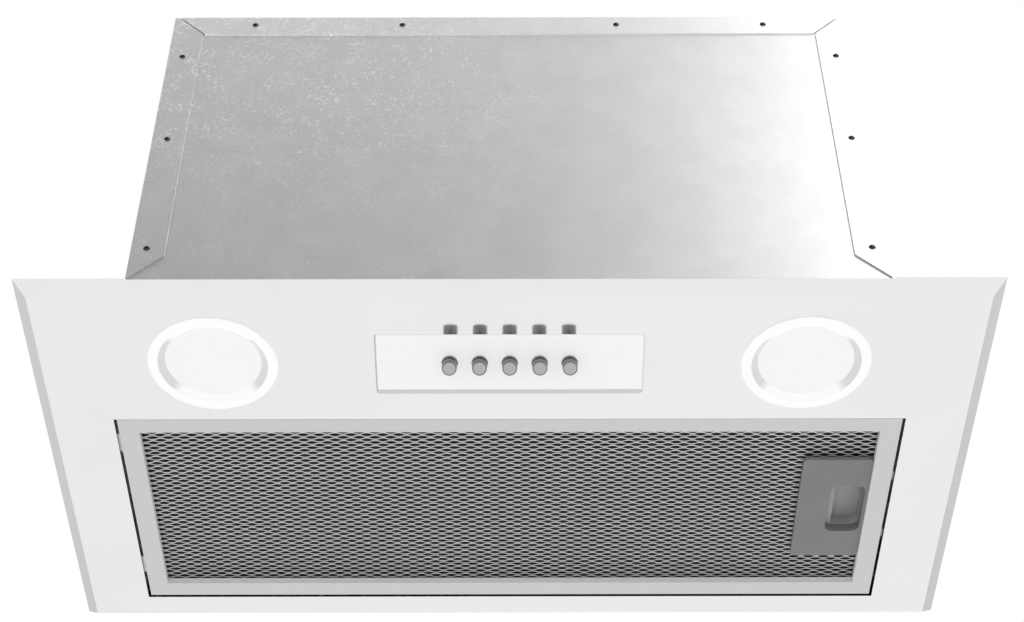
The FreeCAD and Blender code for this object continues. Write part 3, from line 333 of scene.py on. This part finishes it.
def zinc_flakes_and_glints(s, at):
    """Short bright worm-like flakes about a millimetre long, most of them to the upper left. They are partly
    the zinc's own spangle and partly painted glints.
    """
    here = s.axes(at)
    ridge = s.under(s.size(s.minus(s.noise(at, 700.0, 1.0), 0.5)), 0.0, 0.05)
    patch = s.over(s.noise(at, 420.0, 2.0), 0.5, 0.57)
    drift = s.span(s.noise(at, 90.0, 2.0), 0.35, 1.0, 0.4, 0.6)
    bloom = s.times(s.span(here["X"], 1.0, 0.08, -0.08, 0.06), s.span(here["Z"], 0.35, 1.0, 0.05, 0.15))
    return s.times(bloom, ridge, patch, drift)


def zinc_painted_shade(s, at):
    """1 on the zinc below the rim and behind the filter, seen only through the gap round the filter, where it
    is painted near black as painted shade.
    """
    here, way = s.axes(at), s.axes(s.normal())
    rear_gap = s.times(s.over(here["Y"], *TRAY_REAR_Y), s.under(here["Z"], *TRAY_REAR_Z))
    inside = s.times(s.under(way["Y"], 0.3, 0.6), s.under(s.outward(at, "X"), 0.05, 0.1))
    low = s.most(s.under(here["Z"], *TRAY_UNDERSIDE), s.times(rear_gap, inside))
    return s.times(low, s.under(way["Z"], 0.3, 0.6))


def on_top_flange(s, at):
    """1 on the flange over the front sheet, between its mitres."""
    here = s.axes(at)
    above = s.minus(here["Z"], FLANGE_Z)
    mitre = s.minus(s.size(here["X"]), s.times(above, MITRE_SLOPE))
    return s.times(s.over(above, *FLANGE_EDGE), s.under(mitre, *MITRE_X))


def galvanised():
    """Hot-dipped zinc: an even satin grey with bright flakes, partly painted glints that glow a little. The
    top flange is lighter than the sheet. Painted shade darkens walls that look inwards and the zinc seen
    through the gap round the filter.
    """
    s = Shader("galvanised")
    at = s.place()
    cloud, grain, flake_and_glint = s.noise(at, 60.0), s.noise(at, 900.0, 2.0), zinc_flakes_and_glints(s, at)
    shade = s.plus(s.span(cloud, 0.24, 0.4, 0.3, 0.7), s.span(grain, -0.06, 0.06))
    lift = s.plus(s.times(on_top_flange(s, at), 0.45), s.times(flake_and_glint, 0.4))
    sheet = s.ramp(s.plus(shade, lift), (0.0, (0.705, 0.708, 0.713)), (0.9, (0.95, 0.95, 0.95)))
    # painted shade: walls that look inwards, such as the flanges' inner edges, are darker
    painted_edge_shade = s.span(s.outward(at, "X"), 0.45, 0.0, -0.12, -0.06)
    tone = s.mix(zinc_painted_shade(s, at), s.mix(painted_edge_shade, sheet, grey(0.12)), grey(0.02))
    rough = s.plus(s.span(cloud, 0.37, 0.4), s.times(flake_and_glint, 0.1))
    # the glow of the flakes is painted glint
    return s.set(base=tone, metal=1.0, rough=rough, glow=WHITE, glow_strength=s.times(flake_and_glint, 0.42),
                 normal=s.bump(s.plus(s.times(flake_and_glint, 0.5), grain), 0.10, 0.0002))


def aluminium(name, level, rough, metal=0.8, lip_painted_light=0.0):
    """Rolled aluminium, satin, with fine lengthways marks. The frame's inner lips glow a little: painted
    light that lifts their shade.
    """
    s = Shader(name)
    at = s.place()
    marks = s.noise(s.stretched(at, (20.0, 260.0, 260.0)), 5.0, 4.0)
    drawn = s.ramp(marks, (0.3, grey(level * 0.94)), (0.7, grey(level * 1.04)))
    tone = s.mix(s.span(s.noise(at, 24.0, 2.0), 0.0, 0.5), drawn, grey(level * 0.97))
    rear_lip = s.times(s.under(s.axes(s.normal())["Y"], -0.8, -0.5), s.over(s.axes(at)["Y"], *LIP_REAR))
    # painted light: the inner lips glow
    lips = s.most(s.under(s.outward(at, "X"), *LIP_SIDE), rear_lip)
    return s.set(base=tone, metal=metal, rough=s.span(marks, rough - 0.05, rough + 0.07), glow=WHITE,
                 glow_strength=s.times(lips, lip_painted_light), normal=s.bump(marks, 0.05, 0.0001))


def plain_metal(name, level, rough, warmth=WHITE):
    """Plated or spring steel, or bronze, with fine drawn marks."""
    s = Shader(name)
    marks = s.noise(s.stretched(s.place(), (40.0, 40.0, 400.0)), 6.0, 4.0)
    low, high = (tuple(level * share * w for w in warmth) for share in (0.86, 1.08))
    return s.set(base=s.ramp(marks, (0.3, low), (0.7, high)), metal=1.0,
                 rough=s.span(marks, rough - 0.06, rough + 0.08), normal=s.bump(marks, 0.05, 0.0001))


def moulded(name, colour, rough, grain_scale=1500.0, depth=0.12):
    """Moulded plastic or rubber with a fine spark-eroded texture."""
    s = Shader(name)
    at = s.place()
    grain, cloud = s.noise(at, grain_scale), s.noise(at, 22.0)
    low, high = (tuple(c * share for c in colour) for share in (0.93, 1.06))
    return s.set(base=s.ramp(cloud, (0.3, low), (0.7, high)),
                 rough=s.span(grain, rough - 0.07, rough + 0.07), normal=s.bump(grain, depth, 0.0001))


# aluminium_frame's last number is the glow of its inner lips, painted light
ALUMINIUM = {"aluminium_frame": (0.61, 0.42, 0.55, 0.13), "aluminium_mesh": (0.72, 0.4, 0.7)}

PLAIN_METALS = {"rivet_steel": (0.32, 0.36), "rivet_dark": (0.07, 0.16), "spring_steel": (0.42, 0.3),
                "motor_steel": (0.4, 0.34), "bronze": (0.55, 0.35, (1.0, 0.72, 0.38))}

MOULDED = {"black_plastic": ((0.035, 0.036, 0.038), 0.45),
           "rubber": ((0.02, 0.02, 0.021), 0.75, 900.0, 0.2),
           "capacitor_case": ((0.62, 0.63, 0.65), 0.3),
           "terminal_plastic": ((0.72, 0.7, 0.62), 0.45),
           "gland_plastic": ((0.05, 0.05, 0.052), 0.42),
           "led_board": ((0.75, 0.76, 0.74), 0.4),
           # foil_core: the deep foil layers are near black as painted shade for the light they trap
           "foil_core": ((0.012, 0.012, 0.012), 0.6),
           # latch_plastic is grey plastic made lighter: painted light that lifts the shade in the handle's
           # pocket
           "latch_plastic": ((0.33, 0.34, 0.338), 0.5, 1900.0, 0.1),
           "grey_plastic": ((0.175, 0.182, 0.181), 0.5, 1900.0, 0.1)}


def make_materials():
    made = {"painted_white": painted_white(), "white_plastic": white_plastic(), "galvanised": galvanised(),
            "grey_button": button_metal()}
    for make, looks in ((aluminium, ALUMINIUM), (plain_metal, PLAIN_METALS), (moulded, MOULDED)):
        for name, look in looks.items():
            made[name] = make(name, *look)
    return made


def dress_frame(materials):
    """Gives every CAD node the material of its slot. The lamps' looks are made for each side."""
    for part in frame["record"]["subparts"]:
        node, slot = part["node"], part["material_slot"]
        if slot in ("lamp_diffuser", "lamp_white"):
            make = lamp_lens if slot == "lamp_diffuser" else lamp_white
            material = make(node.rsplit("_", 1)[1])
        else:
            material = materials[slot]
        mesh = NODES[node].data
        mesh.materials.clear()
        mesh.materials.append(material)


# ---------------------------------------------------------------- rolled edges

SOFT_EDGES = {"face_panel": 0.12, "control_housing": 0.9, "filter_frame": 0.08, "handle_plate": 0.6,
              "latch_slider": 0.08}
BUTTON_EDGE, BUTTON_COUNT = 0.55, 5


def soften_edges(node, width_mm, segments=2):
    """Rolls a CAD node's sharp edges a little, as paint, moulding or a press would."""
    modifiers = NODES[node].modifiers
    modifiers.new("weld", "WELD").merge_threshold = 0.002 * MM
    bevel = modifiers.new("edge", "BEVEL")
    bevel.width = width_mm * MM
    bevel.segments = segments
    bevel.limit_method = "ANGLE"
    bevel.angle_limit = math.radians(30)
    bevel.harden_normals = True
    bevel.use_clamp_overlap = True


# ---------------------------------------------------------------- objects

def put(name, data):
    made = bpy.data.objects.new(name, data)
    bpy.context.scene.collection.objects.link(made)
    return made


def put_mesh(name, bm, material):
    mesh = bpy.data.meshes.new(name)
    bm.to_mesh(mesh)
    bm.free()
    mesh.materials.append(material)
    return put(name, mesh)


# ---------------------------------------------------------------- expanded metal of the filter

STRAND_PITCH, ROW = 8.92 * MM, 2.17 * MM
STRAND_STEP = STRAND_PITCH / 10
STRAND_LEAN, STRAND_DEPTH = 0.12 * MM, 0.25 * MM
HOLE_HALF_LENGTH, HOLE_HALF_HEIGHT = 3.2 * MM, 1.15 * MM

HOOK_REACH = 4.5 * MM                        # of the hooks at the frame's left
BAND_SIDES, BAND_FRONT, BAND_REAR = 11.0 * MM, 10.5 * MM, 11.3 * MM
MESH_X = (FILTER_LOW.x + HOOK_REACH + BAND_SIDES, FILTER_HIGH.x - BAND_SIDES)
MESH_Y = (FILTER_LOW.y + BAND_FRONT, FILTER_HIGH.y - BAND_REAR)
MESH_Z = MESH_LOW.z + STRAND_DEPTH
NOTCH_X, NOTCH_HALF = 168.5 * MM, 34.0 * MM  # the room that the handle plate takes


def hole_edge(x):
    """Half the height of the almond-shaped opening at x from its middle."""
    x = (x + STRAND_PITCH / 2) % STRAND_PITCH - STRAND_PITCH / 2
    share = abs(x) / HOLE_HALF_LENGTH
    return HOLE_HALF_HEIGHT * (1 - share ** 2.2) if share < 1 else 0.0


def add_strand(bm, middle, height, phase, end):
    """One row: a leaning three-sided strand from the left of the mesh to its end."""
    last = None
    for i in range(int((end - MESH_X[0]) / STRAND_STEP) + 1):
        x = MESH_X[0] + i * STRAND_STEP
        upper = middle + height / 2 - hole_edge(x - phase)
        lower = middle - height / 2 + hole_edge(x - phase + STRAND_PITCH / 2)
        corners = ((upper, STRAND_LEAN), (lower, -STRAND_LEAN), ((upper + lower) / 2, STRAND_DEPTH))
        ring = [bm.verts.new((x, y, MESH_Z + rise)) for y, rise in corners]
        if last:
            for k in range(3):
                bm.faces.new((last[k], last[(k + 1) % 3], ring[(k + 1) % 3], ring[k]))
        else:
            bm.faces.new(ring[::-1])
        last = ring
    bm.faces.new(last)


def make_filter_mesh(material):
    """Rows of strands that meet between almond-shaped openings, as slit and stretched foil does."""
    bm = bmesh.new()
    rows = round((MESH_Y[1] - MESH_Y[0]) / ROW)
    height = (MESH_Y[1] - MESH_Y[0]) / rows
    for row in range(rows):
        middle = MESH_Y[0] + (row + 0.5) * height
        end = NOTCH_X if abs(middle - FILTER_Y) < NOTCH_HALF else MESH_X[1]
        add_strand(bm, middle, height, STRAND_PITCH / 2 if row % 2 else 0.0, end)
    bmesh.ops.recalc_face_normals(bm, faces=bm.faces)
    outer = put_mesh("filter_foil_outer", bm, material)
    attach(outer, "filter")
    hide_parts("filter_mesh_outer")


# ---------------------------------------------------------------- room, light and camera

FLOOR_Z, FLOOR_HALF = -2.3, 30.0
SKY_HORIZON, SKY_ZENITH, SKY_FRONT = 0.44, 1.7, 0.14
SKY_TURN = (-0.75, -0.15)                    # from the dark front of the sky to the rest of it

LIGHT_PLACE, LIGHT_TARGET = (1.35, -1.35, 1.5), (0.1, 0.0, 0.1)
LIGHT_SIZE, LIGHT_WATTS = 1.6, 23.0

CAMERA_PLACE = (0.0004, -0.8735, -0.7779)
CAMERA_PITCH, CAMERA_YAW, CAMERA_ROLL = 45.80, -0.065, -0.137
CAMERA_LENS, CAMERA_SENSOR = 71.97, 36.0


def make_floor():
    s = Shader("floor")
    s.set(base=s.ramp(s.noise(s.place(), 1.5), (0.3, grey(0.89)), (0.7, grey(0.92))), rough=0.6)
    bm = bmesh.new()
    corners = ((-1, -1), (1, -1), (1, 1), (-1, 1))
    bm.faces.new([bm.verts.new((x * FLOOR_HALF, y * FLOOR_HALF, FLOOR_Z)) for x, y in corners])
    put_mesh("floor", bm, s.material)


def make_world():
    """A white studio: bright overhead, softer at the horizon, darkest to the front. The camera sees white."""
    world = bpy.data.worlds.new("studio")
    bpy.context.scene.world = world
    world.use_nodes = True
    t = Tree(world.node_tree)
    way = t.axes(t.node("ShaderNodeTexCoord").outputs["Generated"])
    level = t.times(t.span(way["Z"], SKY_HORIZON, SKY_ZENITH), t.span(way["Y"], SKY_FRONT, 1.0, *SKY_TURN))
    lit = t.node("ShaderNodeBackground", Color=WHITE, Strength=level)
    seen = t.node("ShaderNodeBackground", Color=WHITE, Strength=1.0)
    to_camera = t.node("ShaderNodeLightPath").outputs["Is Camera Ray"]
    mix = t.node("ShaderNodeMixShader", i0=to_camera, i1=lit.outputs["Background"],
                 i2=seen.outputs["Background"])
    t.feed(t.tree.nodes["World Output"].inputs["Surface"], mix.outputs["Shader"])


def make_light():
    data = bpy.data.lights.new("soft_right", "AREA")
    data.shape = "RECTANGLE"
    data.size, data.size_y = LIGHT_SIZE, LIGHT_SIZE
    data.energy = LIGHT_WATTS
    light = put("soft_right", data)
    light.location = LIGHT_PLACE
    light.rotation_euler = (Vector(LIGHT_TARGET) - Vector(LIGHT_PLACE)).to_track_quat("-Z", "Y").to_euler()


def make_camera():
    data = bpy.data.cameras.new("camera")
    data.lens = CAMERA_LENS
    data.sensor_width = CAMERA_SENSOR
    pitch, yaw, roll = (math.radians(a) for a in (CAMERA_PITCH, CAMERA_YAW, CAMERA_ROLL))
    turn = Matrix.Rotation(yaw, 3, "Z") @ Matrix.Rotation(math.pi / 2 + pitch, 3, "X")
    turn = turn @ Matrix.Rotation(roll, 3, "Z")
    camera = put("camera", data)
    camera.matrix_world = Matrix.Translation(CAMERA_PLACE) @ turn.to_4x4()
    bpy.context.scene.camera = camera


# ---------------------------------------------------------------- the scene

bpy.context.scene.view_settings.view_transform = "Standard"
make_camera()
make_world()
make_light()
make_floor()
materials = make_materials()
dress_frame(materials)
make_filter_mesh(materials["aluminium_mesh"])
for node, width in SOFT_EDGES.items():
    soften_edges(node, width)
for i in range(1, BUTTON_COUNT + 1):
    soften_edges("button_%d" % i, BUTTON_EDGE, 3)
